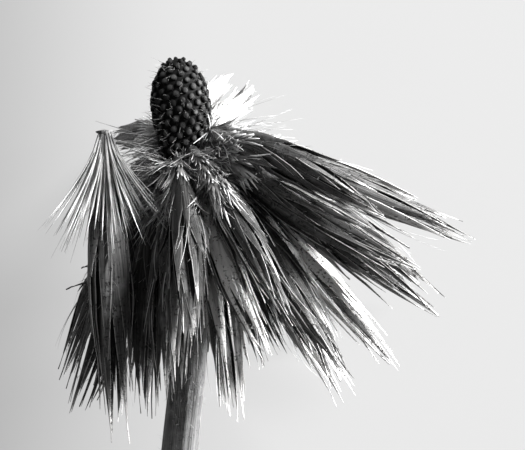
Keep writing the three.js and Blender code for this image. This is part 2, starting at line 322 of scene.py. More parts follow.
def paintBract(tree, fibre, look, mask):
    body = mixColours(tree, mask("Streaks", "streakRamp"), look["dark"], look["light"])
    patched = mixColours(tree, mask("Blotches", "blotchRamp"), body, look["patch"])
    # Pale rims and points: partly the bract's own pale margins, partly painted highlight on its edges and
    # points.
    offMidrib = mathNode(tree, "ABSOLUTE", mathNode(tree, "SUBTRACT", fibre["across"], 0.5))
    lightening = times(tree, mask("along", "rimAlong"), look["rimWearAndHighlight"])
    lightened = times(tree, rampMask(tree, offMidrib, *look["rim"]), lightening)
    rimmed = mixColours(tree, lightened, patched, look["pale"])

    reach, middle = look["raggedness"]
    lengthwise = mathNode(tree, "SUBTRACT", fibre["along"], middle)
    ragged = mathNode(tree, "MULTIPLY_ADD", fibre["Streaks"], reach, lengthwise)
    least, most = look["pointWearAndHighlight"]
    paled = mathNode(tree, "MULTIPLY_ADD", mask("tone", "pointTones"), most - least, least)
    point = times(tree, rampMask(tree, ragged, *look["point"]), paled)
    pointed = mixColours(tree, point, rimmed, look["pale"])
    pale = mixColours(tree, mask("tone", "bleachTones"), pointed, look["pale"])
    specked = mixColours(tree, times(tree, fibre["Specks"], look["speckDepth"]), pale, look["speck"])
    shade = mixColours(tree, mask("tone", "shadeTones"), *look["shade"])
    return mixColours(tree, 1, specked, shade, blend="MULTIPLY")


bristleLook = {
    "root": grey(0.04),
    "dark": grey(0.07),
    "light": grey(0.22, 0.01),
    "pale": grey(0.8),
    "finish": (0.45, 0.55),
    "streaks": (4, 5),
    "streakRamp": (0.35, 0.65),
    "rootEnds": (0.0, 0.35),
    "tipStarts": (0.45, 1.0),
    "tipPallor": 0.6,
    "paleTones": (0.45, 1.15),
    "bump": (0.00003, 0.6),
}


def paintBristle(tree, fibre, look, mask):  # dark at the root and paler to the tip
    body = mixColours(tree, mask("Streaks", "streakRamp"), look["dark"], look["light"])
    rooted = mixColours(tree, mask("along", "rootEnds"), look["root"], body)
    tipped = times(tree, mask("along", "tipStarts"), look["tipPallor"])
    pallor = rampMask(tree, mathNode(tree, "ADD", fibre["tone"], tipped), *look["paleTones"])
    return mixColours(tree, pallor, rooted, look["pale"])


coneLook = {
    # near black, on the skin between the knobs: painted shade in the hollows
    "pit": grey(0.002),
    "knob": grey(0.03),
    "lightened": grey(0.075),
    "finish": (0.8, 0.12),
    "streaks": (6, 6),
    "knobRamp": (0.35, 0.95),  # up a knob's side, from the pit colour at its foot: painted shade
    "wornRamp": (0.7, 1.0),
    "blotchRamp": (0.6, 0.35),
    "bump": (0.00005, 0.7),
}


def paintCone(tree, fibre, look, mask):
    # The skin between the knobs and the knobs' feet are near black: painted shade in the hollows.
    knobs = mixColours(tree, mask("along", "knobRamp"), look["pit"], look["knob"])
    lightening = times(tree, mask("along", "wornRamp"), fibre["tone"])
    lightened = mixColours(tree, lightening, knobs, look["lightened"])
    return mixColours(tree, mask("Blotches", "blotchRamp"), lightened, look["pit"])


stemLook = {
    "dark": grey(0.04),
    "light": grey(0.17),
    "wool": grey(0.22),
    "finish": (0.75, 0.3),
    "streaks": (90, 9),
    "streakRamp": (0.3, 0.7),
    "woolRamp": (0.5, 0.8),
    "speckDepth": 0.4,
    "bump": (0.00008, 0.8),
}


def paintStem(tree, fibre, look, mask):
    body = mixColours(tree, mask("Streaks", "streakRamp"), look["dark"], look["light"])
    woolly = mixColours(tree, mask("Blotches", "woolRamp"), body, look["wool"])
    return mixColours(tree, times(tree, fibre["Specks"], look["speckDepth"]), woolly, look["dark"])


table = {
    "size": 4.0,
    "colour": grey(0.045),
    "glow": (grey(0.36), grey(0.685)),  # to the head's left and under it: the table glows as painted light, dimmer to the left as painted shade
    "shadeFade": (-0.033, -0.004),
    "finish": (0.9, 0.1),
}


def makeTable():
    mesh = bpy.data.meshes.new("table")
    bm = bmesh.new()
    bmesh.ops.create_grid(bm, x_segments=1, y_segments=1, size=table["size"] / 2)
    bm.to_mesh(mesh)
    bm.free()
    material, tree, shader = startMaterial("table", *table["finish"])
    place = newNode(tree, "ShaderNodeSeparateXYZ")
    feed(tree, newNode(tree, "ShaderNodeTexCoord").outputs["Object"], place.inputs[0])
    # The table glows as painted light, and dims to the head's left as painted shade.
    glow = mixColours(tree, rampMask(tree, place.outputs["X"], *table["shadeFade"]), *table["glow"])
    feed(tree, table["colour"], shader.inputs["Base Color"])
    feed(tree, glow, shader.inputs["Emission Color"])
    shader.inputs["Emission Strength"].default_value = 1
    mesh.materials.append(material)
    floor = bpy.data.objects.new("table", mesh)
    bpy.context.collection.objects.link(floor)


# Templates for blades, bristles and hairs are one unit across and one long, and stand at the origin.
# graft() bends each copy into place. Each has a slot of its piece's materials: the piece's own, or bristle.
ownSlot, bristleSlot = 0, 1
sameSpot = 0.01  # places in a template that are nearer than this are one


def newPiece():
    bm = bmesh.new()
    bm.loops.layers.uv.new("strip")
    bm.verts.layers.float.new("tone")
    return bm


def writeStrip(bm, across=1.0, top=1.0):  # how far across and along, read off a template's own shape
    layer = bm.loops.layers.uv["strip"]
    for face in bm.faces:
        for loop in face.loops:
            loop[layer].uv = (0.5 + loop.vert.co.x * across, loop.vert.co.z * top)


def finishTemplate(bm, name, slot):
    mesh = bpy.data.meshes.new(name)
    bmesh.ops.recalc_face_normals(bm, faces=bm.faces)
    for face in bm.faces:
        face.smooth = True
        face.material_index = slot
    bm.to_mesh(mesh)
    bm.free()
    return mesh


def growTube(bm, sides, cuts, foot=1.0, tip=1.0):  # stands on the origin, one long, with rings of points
    matrix = Matrix.Translation((0, 0, 0.5))
    bmesh.ops.create_cone(
        bm, cap_ends=True, segments=sides, radius1=foot, radius2=tip, depth=1, matrix=matrix
    )
    upright = [e for e in bm.edges if abs(e.verts[0].co.z - e.verts[1].co.z) > 0.5]
    bmesh.ops.subdivide_edges(bm, edges=upright, cuts=cuts, use_grid_fill=True)
    for face in bm.faces:
        face.smooth = True


spike = {"foot": 0.5, "tip": 0.08}


def makeSpike(name, sides, cuts, flatness=1.0, slot=bristleSlot, across=1.0, top=1.0):
    bm = newPiece()
    growTube(bm, sides, cuts, **spike)
    writeStrip(bm, across, top)
    bmesh.ops.scale(bm, verts=bm.verts, vec=(1, flatness, 1))
    return finishTemplate(bm, name, slot)


def growBlade(bm, across, lengthwise):  # flat and upright, one long and one wide
    bmesh.ops.create_grid(bm, x_segments=across, y_segments=lengthwise, size=0.5)
    bmesh.ops.rotate(bm, verts=bm.verts, matrix=Matrix.Rotation(pi / 2, 3, "X"))
    bmesh.ops.translate(bm, verts=bm.verts, vec=(0, 0, 0.5))


bract = {
    "along": 10,
    "width": [
        (0.42, 0), (0.85, 0.2), (1.0, 0.4), (0.92, 0.56),
        (0.7, 0.69), (0.42, 0.81), (0.22, 0.91), (0.03, 1.0),
    ],
    "thickness": 0.07,
    "thinnest": 0.4,  # share of that thickness left where the blade is narrow
    "keel": 0.25,  # how far the rims stand back from the midrib
    "dullTop": 0.7,  # an outer bract has the colours of this share of one, so its point stays dull
    "ruffle": 0.10,
    "ruffleScale": (3, 7.3, 6),  # across, from one variant to the next, and along
    "variants": 6,
    "crease": 0.45,  # edges bent more than this stay sharp
}


def makeBractTemplate(number, top):  # a blade folded along its midrib
    bm = newPiece()
    growBlade(bm, 2, bract["along"])
    bmesh.ops.solidify(bm, geom=bm.faces[:], thickness=bract["thickness"])
    writeStrip(bm, top=top)
    across, apart, lengthwise = bract["ruffleScale"]
    for vert in bm.verts:
        p = vert.co
        width = along(bract["width"], p.z)
        rim = abs(p.x) * 2
        spot = Vector((p.x * across, number * apart, p.z * lengthwise))
        ruffle = noise.noise(spot) * bract["ruffle"] * (0.3 + rim)
        fold = bract["keel"] * width * rim
        vert.co = Vector((p.x * width, p.y * mix(bract["thinnest"], 1, width) - fold + ruffle, p.z))
    for edge in bm.edges:
        edge.smooth = edge.calc_face_angle(0) < bract["crease"]
    return finishTemplate(bm, f"bract{number}", ownSlot)


frayed = {
    "fingers": 4,
    "along": 4,
    "torn": 0.5,  # from this share of its length a scale is torn into fingers
    "reach": (0.65, 1.1),
    "curl": (-0.6, 0.6),
    "aside": (-0.25, 0.25),
    "narrowing": 0.92,
    "splay": 0.7,
    "thickness": 0.05,
    "variants": 5,
}


def makeScaleTemplate(number):  # a flat scale of a brush, frayed at its end
    bm = newPiece()
    draw = random.Random(number)
    torn = frayed["torn"]
    growBlade(bm, frayed["fingers"], frayed["along"])
    lengthwise = [
        e for e in bm.edges
        if abs(e.verts[0].co.x - e.verts[1].co.x) < sameSpot and not e.is_boundary
    ]
    tears = [e for e in lengthwise if min(v.co.z for v in e.verts) > torn - sameSpot]
    bmesh.ops.split_edges(bm, edges=tears)
    bmesh.ops.solidify(bm, geom=bm.faces[:], thickness=frayed["thickness"])
    writeStrip(bm)
    for finger in range(frayed["fingers"]):
        centre = (finger + 0.5) / frayed["fingers"] - 0.5
        faces = [f for f in bm.faces if abs(f.calc_center_median().x - centre) < sameSpot]
        reach, curl, aside = drawEach(draw, frayed, "reach", "curl", "aside")
        for vert in {v for f in faces for v in f.verts if v.co.z > torn + sameSpot}:
            free = (vert.co.z - torn) / (1 - torn)
            x = mix(vert.co.x, centre, frayed["narrowing"] * free) * (1 + frayed["splay"] * free)
            z = torn + (vert.co.z - torn) * reach
            vert.co = Vector((x + aside * free**2, vert.co.y + curl * free**1.5, z))
    return finishTemplate(bm, f"scale{number}", bristleSlot)


def graft(bm, template, place, tone):  # adds a template to a piece, every vertex put where place says
    first = len(bm.verts)
    bm.from_mesh(template)
    bm.verts.ensure_lookup_table()
    toneLayer = bm.verts.layers.float["tone"]
    for vert in bm.verts[first:]:
        vert.co = place(vert.co)
        vert[toneLayer] = tone


def thread(p, thick):  # the cross-section of a hair or bristle that runs in any direction
    return Vector((p.x, p.y, 0)) * thick


innerBracts = [makeBractTemplate(number, 1.0) for number in range(bract["variants"])]
outerBracts = [makeBractTemplate(number, bract["dullTop"]) for number in range(bract["variants"])]
scaleTemplates = [makeScaleTemplate(number) for number in range(frayed["variants"])]
bristleTemplate = makeSpike("bristleBlade", 4, 4, flatness=0.4)
hairTemplate = makeSpike("hair", 3, 5)
ciliumTemplate = makeSpike("cilium", 3, 1)
footTemplate = makeSpike("foot", 10, 0, slot=ownSlot, across=0.5, top=0.3)
coreTemplate = makeSpike("core", 8, 9, slot=ownSlot, across=0.5, top=0.3)
print("blades and bristles made,", len(innerBracts[0].polygons), "faces to a bract")


def makePiece(bm, name, *looks):
    mesh = bpy.data.meshes.new(name + "_dressed")
    bm.to_mesh(mesh)
    bm.free()
    for look in looks:
        mesh.materials.append(materials[look])
    piece = bpy.data.objects.new(name + "_dressed", mesh)
    bpy.context.collection.objects.link(piece)
    return piece


def restOnTable(bm, lowest):  # what would reach into the table lies on it
    for vert in bm.verts:
        vert.co.z = max(vert.co.z, lowest)


floret = {
    "sides": 12,  # of the solid: as many edges meet at each end of its middle line
    "fullLength": 22,  # of a well grown one. Shorter ones are slimmer too
    "ledge": (0.49, 0.61),  # between these the solid has one ring of points, round its middle line
    "body": [
        (0.3, 0.02), (0.55, 0.12), (1.1, 0.28), (1.5, 0.46),
        (1.5, 0.62), (1.2, 0.77), (0.7, 0.91), (0.25, 1.0),
    ],
    # the core is dark: painted shade in the gaps between the bracts
    "core": {"start": 0.02, "length": 0.8, "girth": 1.3, "closed": 1.02, "tone": 0.1},
    "foot": {"start": 0.002, "length": 0.02, "width": 1.1, "tone": 0.3},
    "looseFoot": {"start": 0.002, "length": 0.02, "width": 1.35, "tone": 0.6},
    "lift": 0.00002,  # off the table, in metres
}
layers = [  # of a floret's bracts, outermost first
    dict(kind=outerBracts, count=6, start=(0.05, 0.14), end=(0.38, 0.56), width=(0.75, 1.05), stand=1.1),
    dict(kind=outerBracts, count=7, start=(0.12, 0.2), end=(0.58, 0.76), width=(0.85, 1.2), stand=1.0),
    dict(kind=innerBracts, count=8, start=(0.16, 0.26), end=(0.78, 0.93), width=(0.75, 1.1), stand=0.86),
    dict(kind=innerBracts, count=7, start=(0.25, 0.35), end=(0.92, 1.03), width=(0.6, 0.9), stand=0.66),
]
disorder = {  # among a floret's bracts
    "turn": 0.5,  # from one layer to the next
    "spacing": (-0.22, 0.22),
    "stand": (0.94, 1.06),
    "flare": (-0.3, 0.9),  # how far a bract's point stands off the others
    "wander": 0.28,
    "twist": 0.6,
    "shades": 0.3,  # how far a bract can be lighter or darker than its floret
}
cilia = {  # hairs that fringe a bract's rims
    "count": 5,
    "along": (0.2, 0.85),
    "aside": (0.4, 1.2),
    "length": (0.25, 0.6),
    "bend": 0.12,
    "thick": 0.05,
    "tone": 0.55,
    "step": 0.05,  # along the bract to both sides of the hair, to see which way it runs
}


def average(points):
    return sum(points, Vector()) / len(points)


def readLine(node):  # a floret's middle line, from its solid
    bm = bmesh.new()
    bm.from_mesh(node.data)
    bmesh.ops.remove_doubles(bm, verts=bm.verts, dist=1e-6)
    ends = [v for v in bm.verts if len(v.link_edges) == floret["sides"]]
    ends.sort(key=lambda v: sum(e.calc_length() for e in v.link_edges))
    foot = ends[0].co.copy()
    onTable = [v.co for v in bm.verts if v.co.z < 1e-5]  # where the table cuts a floret's tip off
    tip = ends[1].co.copy() if len(ends) > 1 else average(onTable)
    chord = tip - foot
    shares = {v: (v.co - foot).dot(chord) / chord.length_squared for v in bm.verts}
    low, high = floret["ledge"]
    ring = [v for v in bm.verts if low < shares[v] < high]
    ledge = sum(shares[v] for v in ring) / len(ring)
    bend = (average([v.co for v in ring]) - foot - chord * ledge) / (4 * ledge * (1 - ledge))
    bend -= chord * bend.dot(chord) / chord.length_squared
    bm.free()
    towardsViewer = Vector((0, -sin(head["tilt"]), cos(head["tilt"])))
    across = towardsViewer.cross(chord).normalized()
    length = chord.length / mm
    return {
        "foot": foot,
        "chord": chord,
        "bend": bend,
        "across": across,
        "up": chord.normalized().cross(across),
        "length": length,
        "stout": length / floret["fullLength"],
    }


def onLine(line, share, angle, out, sideways=0.0):
    away = line["across"] * cos(angle) + line["up"] * sin(angle)
    beside = line["up"] * cos(angle) - line["across"] * sin(angle)
    middle = line["foot"] + line["chord"] * share + line["bend"] * 4 * share * (1 - share)
    return middle + (away * out + beside * sideways) * line["stout"] * mm


def growBracts(bm, line, draw, tone):
    turn = anyAngle(draw)
    for layer in reversed(layers):
        turn += disorder["turn"]
        for k in range(layer["count"]):
            angle = turn + (k + draw.uniform(*disorder["spacing"])) / layer["count"] * 2 * pi
            start, end, width = drawEach(draw, layer, "start", "end", "width")
            uneven, flare = drawEach(draw, disorder, "stand", "flare")
            stand = layer["stand"] * uneven
            bow, lean = (draw.uniform(-1, 1) * disorder["wander"] for _ in range(2))
            twist = draw.uniform(-1, 1) * disorder["twist"]

            def place(p):
                share = mix(start, end, p.z)
                outward = p.y * cos(twist) + p.x * sin(twist)
                across = p.x * cos(twist) - p.y * sin(twist)
                out = along(floret["body"], share) * stand + outward * width + flare * p.z**4
                sideways = across * width + bow * sin(pi * p.z) + lean * p.z**2
                return onLine(line, share, angle, out, sideways)

            template = draw.choice(layer["kind"])
            shade = draw.uniform(-1, 1) * disorder["shades"]
            graft(bm, template, place, clamp(tone + shade, 0, 1))
            growCilia(bm, draw, place)


def growCilia(bm, draw, place):  # on the bract that place() lays
    for _ in range(cilia["count"]):
        at, side = draw.uniform(*cilia["along"]), draw.choice((-0.5, 0.5))
        before, after = Vector((0, 0, at - cilia["step"])), Vector((0, 0, at + cilia["step"]))
        width = along(bract["width"], at)
        root = place(Vector((side * width, -bract["keel"] * width, at)))
        ahead = (place(after) - place(before)).normalized()
        aside = (root - place(Vector((0, 0, at)))).normalized()
        heading = ahead + aside * draw.uniform(*cilia["aside"])
        reach = heading * draw.uniform(*cilia["length"]) * mm
        bend = scatter(draw) * cilia["bend"] * mm

        def placeHair(p):
            return root + reach * p.z + bend * p.z**2 + thread(p, cilia["thick"] * mm)

        graft(bm, ciliumTemplate, placeHair, cilia["tone"])


brush = {  # what stands round a hanging floret's foot
    "start": 0.012,
    "bristles": 60,
    "reach": (0.06, 0.26),
    "width": (0.13, 0.24),
    "spread": (0.2, 1.2),
    "curl": 0.5,
    "broad": 1.3,  # how much wider than thick
    "foot": (0.25, 0.45),
    "clear": 0.1,
    "tone": (0.0, 0.45),
}
footScales = {  # flat and frayed
    "start": 0.01,
    "count": 9,
    "width": (0.7, 1.2),
    "reach": (0.1, 0.23),
    "lift": (0.2, 1.5),
    "lean": (-0.5, 0.5),
    "foot": 0.45,
    "clear": 0.12,  # over the bracts
    "tightest": 0.7,  # a scale is curved round no less than this
    "thick": 0.9,
    "tone": (0.1, 0.6),
}
stubs = {  # short curly bristles
    "start": 0.02,
    "count": 22,
    "length": (1.2, 3.2),
    "slant": (0.3, 1.1),
    "lift": (-0.5, 0.5),
    "curl": (-0.8, 0.8),
    "stoutness": 1.3,
    "foot": 0.35,
    "tone": (0.3, 1.0),
}


def growBrush(bm, line, draw):
    for _ in range(brush["bristles"]):
        angle = anyAngle(draw)
        reach, spread, width = drawEach(draw, brush, "reach", "spread", "width")
        curl = draw.uniform(-1, 1) * brush["curl"]
        foot = draw.uniform(*brush["foot"])

        def place(p):
            share = brush["start"] + reach * p.z
            out = max(foot, along(floret["body"], share) + brush["clear"]) + spread * p.z**3
            aside = p.x * width * brush["broad"] + curl * p.z**2
            return onLine(line, share, angle, out + p.y * width, aside)

        graft(bm, bristleTemplate, place, draw.uniform(*brush["tone"]))


def growFootScales(bm, line, draw):
    for _ in range(footScales["count"]):
        angle = anyAngle(draw)
        lean, reach, lift, width = drawEach(draw, footScales, "lean", "reach", "lift", "width")

        def place(p):
            share = footScales["start"] + reach * p.z
            out = max(footScales["foot"], along(floret["body"], share) + footScales["clear"])
            out += lift * p.z**2 + p.y * footScales["thick"]
            turned = angle + p.x * width / max(footScales["tightest"], out)
            return onLine(line, share, turned, out, lean * p.z**2)

        template = draw.choice(scaleTemplates)
        graft(bm, template, place, draw.uniform(*footScales["tone"]))


def growStubs(bm, line, draw):
    for _ in range(stubs["count"]):
        angle = anyAngle(draw)
        length, slant, lift, curl = drawEach(draw, stubs, "length", "slant", "lift", "curl")
        width = draw.uniform(*brush["width"]) * stubs["stoutness"]

        def place(p):
            share = stubs["start"] + cos(slant) * length * p.z / line["length"]
            out = stubs["foot"] + sin(slant) * length * p.z + lift * p.z**2
            return onLine(line, share, angle, out + p.y * width, p.x * width + curl * p.z**2)

        graft(bm, bristleTemplate, place, draw.uniform(*stubs["tone"]))


openBrush = {  # the loose floret's: long bristles in bundles, straight and spread into a skirt
    "start": 0.012,
    "bundles": 52,
    "inBundle": (2, 5),
    "length": (8.2, 11.8),
    "shorter": (0.72, 1.0),
    "slant": 0.64,
    "leastSlant": 0.1,
    "apart": (-0.16, 0.16),  # the angles within a bundle, round the floret and off its line
    "slantApart": (-0.09, 0.09),
    "width": (0.18, 0.34),
    "foot": (0.25, 0.48),
}
twig = {  # dark stubs of old flowers that stick out of the loose floret, with a knob at their ends
    "start": 1.3,
    "foot": 0.3,
    "taper": 0.14,
    "knobFrom": 0.8,
    "knob": 0.6,
}
twigs = [
    {"share": 0.49, "angle": 3.3, "length": 1.9, "droop": 0.5},
    {"share": 0.44, "angle": 3.0, "length": 0.7, "droop": 0.2},
]


def growOpenBrush(bm, line, draw):
    for _ in range(openBrush["bundles"]):
        heading = anyAngle(draw)
        slanted = openBrush["slant"] * draw.random() ** 0.6  # more of them near the skirt's rim
        longest = draw.uniform(*openBrush["length"])
        tone = draw.random() ** 1.6  # and more dark ones
        for _ in range(draw.randint(*openBrush["inBundle"])):
            turn, lean, share = drawEach(draw, openBrush, "apart", "slantApart", "shorter")
            angle, slant = heading + turn, max(openBrush["leastSlant"], slanted + lean)
            length = longest * share
            width, foot = drawEach(draw, openBrush, "width", "foot")

            def place(p):
                share = openBrush["start"] + length * cos(slant) * p.z / line["length"]
                out = foot + length * sin(slant) * p.z**1.35 / line["stout"]
                blade = width * (0.6 + 2.4 * p.z * (1.1 - p.z))  # widest at its middle
                return onLine(line, share, angle, out + p.y * blade, p.x * blade)

            graft(bm, bristleTemplate, place, tone)


def growTwigs(bm, line):
    for one in twigs:

        def place(p):
            thick = twig["foot"] - twig["taper"] * p.z if p.z < twig["knobFrom"] else twig["knob"]
            share = one["share"] + one["droop"] * p.z**1.5 / line["length"]
            out = twig["start"] + one["length"] * p.z
            side = Vector((0, p.y * thick * mm, 0))
            return onLine(line, share, one["angle"], out, p.x * thick) + side

        graft(bm, coreTemplate, place, 0.0)


strays = {  # loose pale hairs that curl away from a floret
    "count": 5,
    "start": (0.2, 0.7),
    "reach": (0.12, 0.3),
    "lift": (0.3, 1.6),
    "curl": (-1.2, 1.2),
    "thick": 0.08,
    "tone": (0.5, 1.0),
}


def growStrays(bm, line, draw):
    for _ in range(strays["count"]):
        angle = anyAngle(draw)
        start, reach, lift, curl = drawEach(draw, strays, "start", "reach", "lift", "curl")

        def place(p):
            out = along(floret["body"], start) + lift * p.z * (1.4 - p.z) + p.y * strays["thick"]
            return onLine(line, start + reach * p.z, angle, out, p.x * strays["thick"] + curl * p.z**2)

        graft(bm, hairTemplate, place, draw.uniform(*strays["tone"]))


def coreGirth(at):  # undoes the core's own taper, and keeps it a little slimmer than the bracts
    taper = mix(1, spike["tip"] / spike["foot"], at)
    return floret["core"]["girth"] * sqrt(floret["core"]["closed"] - at) / taper


def makeFloret(name, seed, tone):
    line = readLine(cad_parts[name])
    draw = random.Random(seed)
    isLoose = name == "floret_loose"
    bm = newPiece()
    core, foot = floret["core"], floret["looseFoot" if isLoose else "foot"]

    def placeCore(p):
        girth = along(floret["body"], p.z) * coreGirth(p.z)
        return onLine(line, core["start"] + core["length"] * p.z, 0, girth * p.x, girth * p.y)

    def placeFoot(p):
        share = foot["start"] + foot["length"] * p.z
        return onLine(line, share, 0, p.x * foot["width"], p.y * foot["width"])

    graft(bm, coreTemplate, placeCore, core["tone"])
    graft(bm, footTemplate, placeFoot, foot["tone"])
    growBracts(bm, line, draw, tone)
    if isLoose:
        growOpenBrush(bm, line, draw)
        growTwigs(bm, line)
    else:
        growBrush(bm, line, draw)
        growFootScales(bm, line, draw)
        growStubs(bm, line, draw)
    growStrays(bm, line, draw)
    restOnTable(bm, floret["lift"])
    piece = makePiece(bm, name, "bract", "bristle")
    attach(piece, "root")
    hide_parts(name)
    return len(piece.data.polygons)


cone = {
    "outline": [
        (1.5, -2.3), (1.8, -1), (1.75, 1), (1.88, 2.8), (2.22, 4.6),
        (2.32, 6), (2.0, 7.7), (1.2, 9.05), (0.3, 9.55),
    ],
    "lean": -0.07,
    "sides": 40,
    "rings": 44,
    "sunk": 0.1,  # how far under the skin things are rooted
    "skin": 0.08,  # how far under the outline the skin is, between the knobs
    "seed": 7,
}
coneBottom, coneTop = cone["outline"][0][1], cone["outline"][-1][1]
knob = {
    "count": 280,
    "size": (0.27, 0.32),
    "height": 0.36,
    "heights": (0.8, 1.15),
    "taller": (1.25, 0.95),  # than wide, from the cone's foot to its tip
    "meridians": 10,
    "parallels": 8,
    "bottom": -0.1,
    "scar": {"from": 0.8, "depth": 0.22},
}
coneHair = {
    "count": 560,
    "heights": (coneBottom + 0.2, coneTop - 0.3),
    "length": (0.35, 1.05),
    "rise": (-0.6, 0.5),
    "drift": 0.25,
    "thick": 0.045,
    "tone": (0.0, 0.4),
}


def onCone(height, bearing, radius):
    return Vector((cone["lean"] * height + sin(bearing) * radius, height, cos(bearing) * radius))


def rootOnCone(height, bearing, sunk=cone["sunk"]):
    return onCone(height, bearing, along(cone["outline"], height) - sunk)


def coneTaper(height, over):  # how fast the cone narrows upwards
    return (along(cone["outline"], height - over) - along(cone["outline"], height + over)) / (2 * over)


def makeKnobTemplate():  # a low dome with a sunken scar on its top
    bm = newPiece()
    bmesh.ops.create_uvsphere(bm, u_segments=knob["meridians"], v_segments=knob["parallels"], radius=1)
    below = [v for v in bm.verts if v.co.z < knob["bottom"]]
    bmesh.ops.delete(bm, geom=below, context="VERTS")
    writeStrip(bm, across=0.5)
    scar = knob["scar"]
    for vert in bm.verts:
        vert.co.z -= scar["depth"] * max(0, vert.co.z - scar["from"]) / (1 - scar["from"])
    rim = [e for e in bm.edges if e.is_boundary]
    bmesh.ops.contextual_create(bm, geom=rim)
    return finishTemplate(bm, "knob", ownSlot)


def knobHeights():  # spread so that every knob has the same share of the skin
    steps = 400
    heights = [mix(coneBottom, coneTop, (i + 0.5) / steps) for i in range(steps)]
    areas = [along(cone["outline"], height) * sqrt(1 + coneTaper(height, 0.05) ** 2) for height in heights]
    total = sum(areas)
    picked, sofar = [], 0
    for height, area in zip(heights, areas):
        sofar += area
        while len(picked) < knob["count"] and sofar / total >= (len(picked) + 0.5) / knob["count"]:
            picked.append(height)
    return picked


def growKnobs(bm, draw):
    template = makeKnobTemplate()
    goldenAngle = pi * (3 - sqrt(5))
    for k, height in enumerate(knobHeights()):
        bearing = k * goldenAngle
        middle = rootOnCone(height, bearing)
        outward = Vector((sin(bearing), coneTaper(height, 0.3), cos(bearing))).normalized()
        sidewise = Vector((cos(bearing), 0, -sin(bearing)))
        upward = outward.cross(sidewise)
        shrink = min(1, 0.55 + along(cone["outline"], height) / 4)  # where the cone is slim
        size = draw.uniform(*knob["size"]) * shrink
        rise = knob["height"] * draw.uniform(*knob["heights"])
        tall = size * mix(*knob["taller"], (height - coneBottom) / (coneTop - coneBottom))

        def place(p):
            return headToWorld @ (middle + sidewise * p.x * size + upward * p.y * tall + outward * p.z * rise)

        graft(bm, template, place, draw.random() ** 2)
    bpy.data.meshes.remove(template)


def growConeHairs(bm, draw):
    for _ in range(coneHair["count"]):
        height = draw.uniform(*coneHair["heights"])
        bearing = anyAngle(draw)
        root = rootOnCone(height, bearing)
        length = draw.uniform(*coneHair["length"])
        outward = Vector((sin(bearing), draw.uniform(*coneHair["rise"]), cos(bearing)))
        drift = scatter(draw) * coneHair["drift"]

        def place(p):
            stray = outward * p.z + drift * p.z**2
            return headToWorld @ (root + stray * length + thread(p, coneHair["thick"]))

        graft(bm, hairTemplate, place, draw.uniform(*coneHair["tone"]))


tuft = {  # brushes left where florets have dropped, just above the others
    "count": 17,
    "heights": (1.1, 3.2),
    "lowest": -0.5,  # at this bearing round the cone
    "uneven": (-0.3, 0.3),
    "aside": (-0.2, 0.2),
    "length": (0.9, 2.6),
}
tuftBristle = {
    "count": 7,
    "rise": (-0.35, 0.35),
    "fan": 0.8,
    "curl": 0.5,
    "thick": 0.17,
    "tone": (0.0, 0.6),
}
tuftScale = {
    "count": 6,
    "sunk": 0.15,
    "rise": (-0.5, 0.3),
    "fan": 0.6,
    "fanUp": (-1.6, 0.6),
    "width": (0.5, 1.0),
    "thick": 0.8,
    "droop": (-0.9, 0.1),
    "lightest": 0.5,
}


def growTufts(bm, draw):
    for k in range(tuft["count"]):
        bearing = (k + draw.uniform(*tuft["uneven"])) / tuft["count"] * 2 * pi
        height = mix(*tuft["heights"], (1 - cos(bearing - tuft["lowest"])) / 2)
        height += draw.uniform(*tuft["uneven"])
        for _ in range(tuftBristle["count"]):
            growTuftBristle(bm, draw, bearing, height)
        for _ in range(tuftScale["count"]):
            growTuftScale(bm, draw, bearing, height)


def growTuftBristle(bm, draw, bearing, height):
    turned, raised = bearing + draw.uniform(*tuft["aside"]), height + draw.uniform(*tuftBristle["rise"])
    root = rootOnCone(raised, turned)
    outward = onCone(0, turned, 1) + scatter(draw) * tuftBristle["fan"]
    length = draw.uniform(*tuft["length"])
    curl = scatter(draw) * tuftBristle["curl"]

    def place(p):
        stray = outward * length * p.z + curl * p.z**2
        return headToWorld @ (root + stray + thread(p, tuftBristle["thick"]))

    graft(bm, bristleTemplate, place, draw.uniform(*tuftBristle["tone"]))


def growTuftScale(bm, draw, bearing, height):
    turned, raised = bearing + draw.uniform(*tuft["aside"]), height + draw.uniform(*tuftScale["rise"])
    root = rootOnCone(raised, turned, tuftScale["sunk"])
    outward = onCone(0, turned, 1) + scatter(draw, y=tuftScale["fanUp"]) * tuftScale["fan"]
    aside = outward.cross(Vector((0, 1, 0))).normalized()
    over = aside.cross(outward).normalized()
    length, width = draw.uniform(*tuft["length"]), draw.uniform(*tuftScale["width"])
    droop = Vector((0, draw.uniform(*tuftScale["droop"]), 0))

    def place(p):
        flat = aside * p.x * width * (0.5 + 0.5 * p.z) + over * p.y * tuftScale["thick"]
        return headToWorld @ (root + outward * length * p.z + droop * p.z**2 + flat)

    template = draw.choice(scaleTemplates)
    graft(bm, template, place, draw.random() ** 2 * tuftScale["lightest"])


burst = {  # the frayed scales that fan out at the cone's foot, on the side that the skirt leans to
    "x": (1.1, 3.0),
    "y": (0.3, 2.9),
    "heading": (-1.9, 0.8),  # of the lowest and of the highest
    "disorder": 0.3,
    "bend": (-0.5, 0.5),
    "lift": (0.1, 0.9),
    "clear": 0.3,  # over the florets' solids
    "above": 40,  # higher than every floret
    "scales": 40,
    "length": (1.4, 4.6),
    "width": (0.7, 1.4),
    "tone": (0.15, 0.6),
    "curls": 24,  # pale bristles among them
    "curlLength": (0.5, 1.2),
    "curlWidth": 0.22,
    "curlTone": 1.0,
}


def viewerSideOfFlorets():  # gives a function that says how far towards the viewer they reach
    bm = bmesh.new()
    for name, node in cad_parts.items():
        if name.startswith("floret_"):
            bm.from_mesh(node.data)
    tree = BVHTree.FromBMesh(bm)
    bm.free()
    worldToHead = headToWorld.inverted()
    inward = (headToWorld.to_3x3() @ Vector((0, 0, -1))).normalized()

    def reachAt(x, y):
        hit = tree.ray_cast(headToWorld @ Vector((x, y, burst["above"])), inward)[0]
        return (worldToHead @ hit).z if hit else 0

    return reachAt


